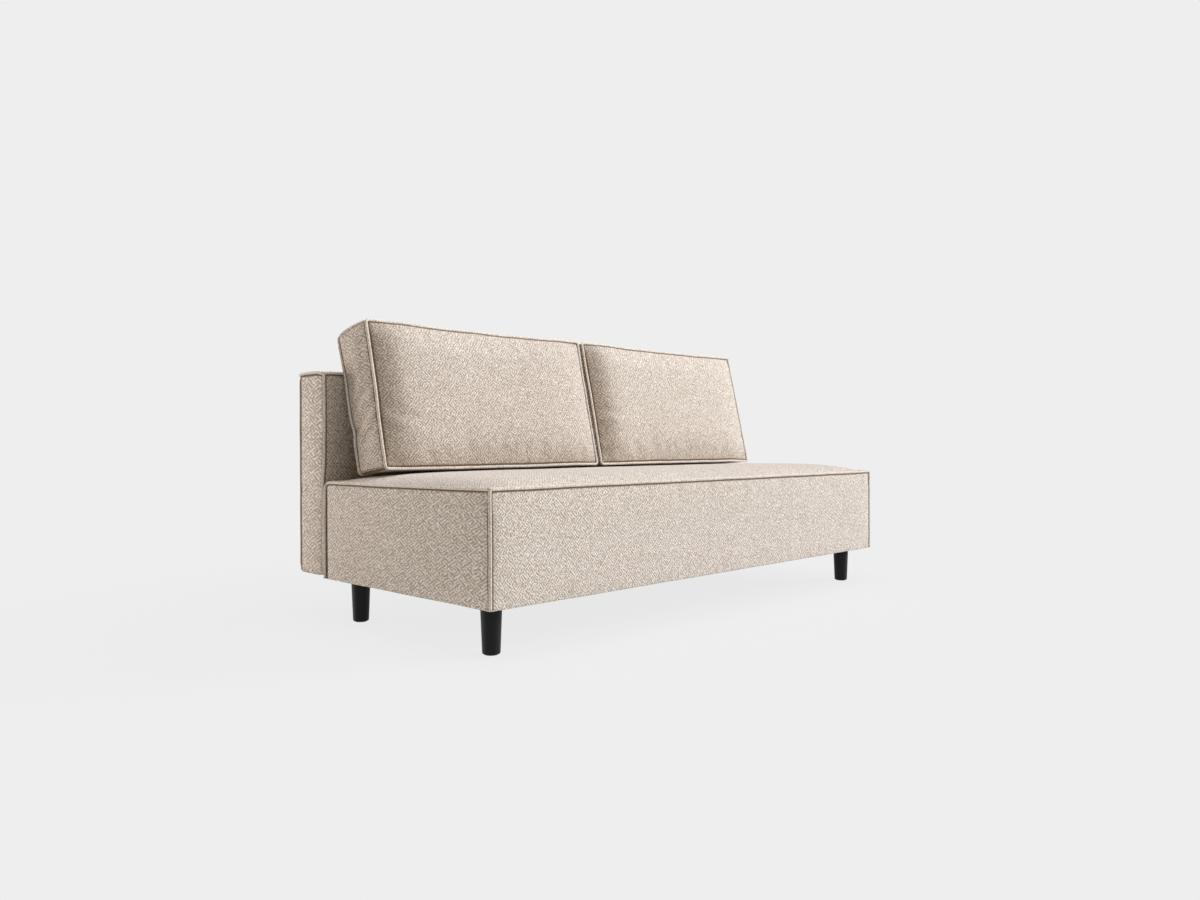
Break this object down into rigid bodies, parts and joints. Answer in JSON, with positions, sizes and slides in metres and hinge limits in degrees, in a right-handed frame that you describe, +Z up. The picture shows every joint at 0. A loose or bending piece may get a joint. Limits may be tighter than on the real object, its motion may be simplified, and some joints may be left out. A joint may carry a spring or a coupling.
{
  "type": "armless sofa",
  "caption": "Armless sofa: a boxy upholstered seat on round tapered legs, a slab backrest and loose back cushions, all edged with piping in the same cloth.",
  "frame": {"origin": "on the floor under the middle of the sofa's width and depth", "axes": "+X to the right seen from the front, along the sofa's width; +Y to the rear; +Z up"},
  "size_m": [1.9, 0.9537, 0.9174],
  "materials": {
    "cover_cloth": "matt woven",
    "piping_cloth": "matt woven",
    "frame_wood": "raw",
    "steel": "zinc plated",
    "foam": "matt",
    "padding": "matt",
    "felt": "matt",
    "black_cloth": "matt",
    "webbing": "matt",
    "leg_wood": "satin black paint",
    "glide_plastic": "matt",
    "zip_tape": "matt",
    "slider_metal": "satin"
  },
  "bodies": {
    "sofa": {"seat_front_rail": "frame_wood", "seat_rear_rail": "frame_wood", "seat_left_rail": "frame_wood", "seat_right_rail": "frame_wood", "seat_cross_rails": "frame_wood", "seat_corner_blocks": "frame_wood", "seat_springs": "steel", "seat_spring_clips": "steel", "seat_felt": "felt", "seat_side_padding": "padding", "seat_foam": "foam", "seat_top_panel": "cover_cloth", "seat_front_panel": "cover_cloth", "seat_rear_panel": "cover_cloth", "seat_left_panel": "cover_cloth", "seat_right_panel": "cover_cloth", "seat_top_piping": "piping_cloth", "seat_corner_pipings": "piping_cloth", "seat_dust_cloth": "black_cloth", "leg_front_left": "leg_wood", "leg_front_right": "leg_wood", "leg_rear_left": "leg_wood", "leg_rear_right": "leg_wood", "leg_bolts": "steel", "leg_tee_nuts": "steel", "leg_glides": "glide_plastic", "back_top_rail": "frame_wood", "back_bottom_rail": "frame_wood", "back_left_post": "frame_wood", "back_right_post": "frame_wood", "back_inner_posts": "frame_wood", "back_front_board": "frame_wood", "back_webbing": "webbing", "back_foam": "foam", "back_edge_padding": "padding", "back_rear_padding": "padding", "back_front_panel": "cover_cloth", "back_rear_panel": "cover_cloth", "back_boxing": "cover_cloth", "back_front_piping": "piping_cloth", "back_rear_piping": "piping_cloth", "joining_bolts": "steel"},
    "left_cushion": {"left_cushion_fill": "padding", "left_cushion_front_panel": "cover_cloth", "left_cushion_back_panel": "cover_cloth", "left_cushion_boxing": "cover_cloth", "left_cushion_base_panels": "cover_cloth", "left_cushion_front_piping": "piping_cloth", "left_cushion_back_piping": "piping_cloth", "left_cushion_zip": "zip_tape"},
    "left_slider": {"left_zip_slider": "slider_metal"},
    "right_cushion": {"right_cushion_fill": "padding", "right_cushion_front_panel": "cover_cloth", "right_cushion_back_panel": "cover_cloth", "right_cushion_boxing": "cover_cloth", "right_cushion_base_panels": "cover_cloth", "right_cushion_front_piping": "piping_cloth", "right_cushion_back_piping": "piping_cloth", "right_cushion_zip": "zip_tape"},
    "right_slider": {"right_zip_slider": "slider_metal"}
  },
  "joints": [
    {"name": "left_cushion_lift", "type": "slide", "parent": "sofa", "child": "left_cushion", "axis": [0, 0, 1], "range_m": [0, 0.45]},
    {"name": "left_zip_run", "type": "slide", "parent": "left_cushion", "child": "left_slider", "axis": [1, 0, 0], "range_m": [0, 0.749]},
    {"name": "right_cushion_lift", "type": "slide", "parent": "sofa", "child": "right_cushion", "axis": [0, 0, 1], "range_m": [0, 0.45]},
    {"name": "right_zip_run", "type": "slide", "parent": "right_cushion", "child": "right_slider", "axis": [-1, 0, 0], "range_m": [0, 0.749]}
  ]
}
